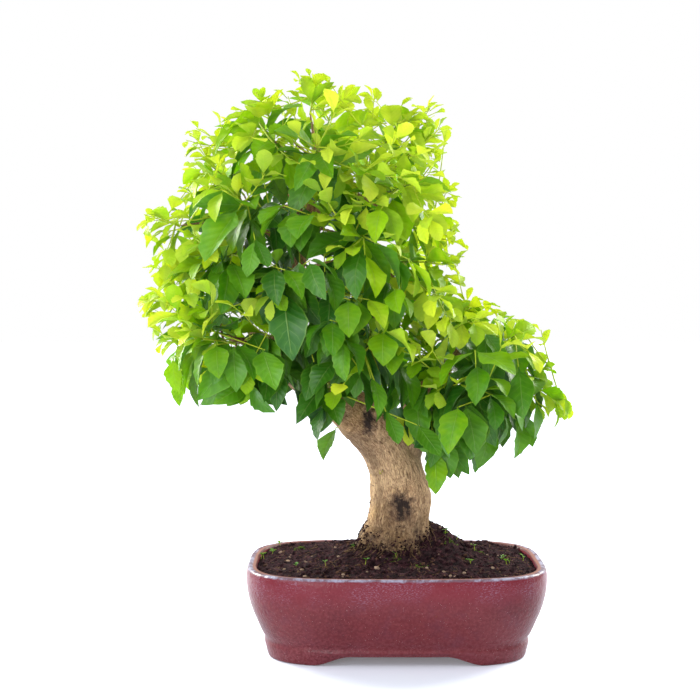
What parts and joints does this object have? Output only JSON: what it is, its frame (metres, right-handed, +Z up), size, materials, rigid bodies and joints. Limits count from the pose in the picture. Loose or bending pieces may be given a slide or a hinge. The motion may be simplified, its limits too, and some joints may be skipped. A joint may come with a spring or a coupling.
{
  "type": "duranta bonsai",
  "caption": "Bonsai tree with a stout leaning trunk and rounded masses of small toothed leaves, rooted in a rounded rectangular glazed pot on four corner feet.",
  "frame": {"origin": "under the middle of the whole tree's box, on the surface that the pot stands on", "axes": "+Z up the tree, +X to the right and +Y away from the viewer, with the trunk leaning to -X"},
  "size_m": [0.3898, 0.2336, 0.5025],
  "materials": {
    "glaze": "gloss",
    "mesh": "matte",
    "soil": "matte",
    "bark": "matte",
    "leaf_green": "satin",
    "leaf_lime": "satin"
  },
  "bodies": {
    "root": {"pot": "glaze", "screen_left": "mesh", "screen_right": "mesh", "shoot_01": "leaf_lime", "shoot_02": "leaf_lime", "shoot_03": "leaf_lime", "shoot_04": "leaf_lime", "shoot_05": "leaf_lime", "shoot_06": "leaf_lime", "shoot_07": "leaf_lime", "shoot_08": "leaf_lime", "shoot_09": "leaf_lime", "shoot_10": "leaf_lime", "shoot_11": "leaf_lime", "shoot_12": "leaf_lime", "shoot_13": "leaf_lime", "shoot_14": "leaf_lime", "shoot_15": "leaf_lime", "soil": "soil", "spray_01": "leaf_green", "spray_02": "leaf_green", "spray_03": "leaf_green", "spray_04": "leaf_green", "spray_05": "leaf_green", "spray_06": "leaf_green", "spray_07": "leaf_green", "spray_08": "leaf_green", "spray_09": "leaf_green", "spray_10": "leaf_green", "spray_11": "leaf_green", "spray_12": "leaf_green", "spray_13": "leaf_green", "spray_14": "leaf_green", "spray_15": "leaf_green", "spray_16": "leaf_green", "spray_17": "leaf_green", "spray_18": "leaf_green", "spray_19": "leaf_green", "spray_20": "leaf_green", "spray_21": "leaf_green", "spray_22": "leaf_green", "spray_23": "leaf_green", "spray_24": "leaf_green", "spray_25": "leaf_green", "spray_26": "leaf_green", "spray_27": "leaf_green", "spray_28": "leaf_green", "spray_29": "leaf_green", "spray_30": "leaf_green", "spray_31": "leaf_green", "spray_32": "leaf_green", "spray_33": "leaf_green", "spray_34": "leaf_green", "spray_35": "leaf_green", "spray_36": "leaf_green", "spray_37": "leaf_green", "spray_38": "leaf_green", "spray_39": "leaf_green", "spray_40": "leaf_green", "trunk": "bark"}
  },
  "joints": []
}
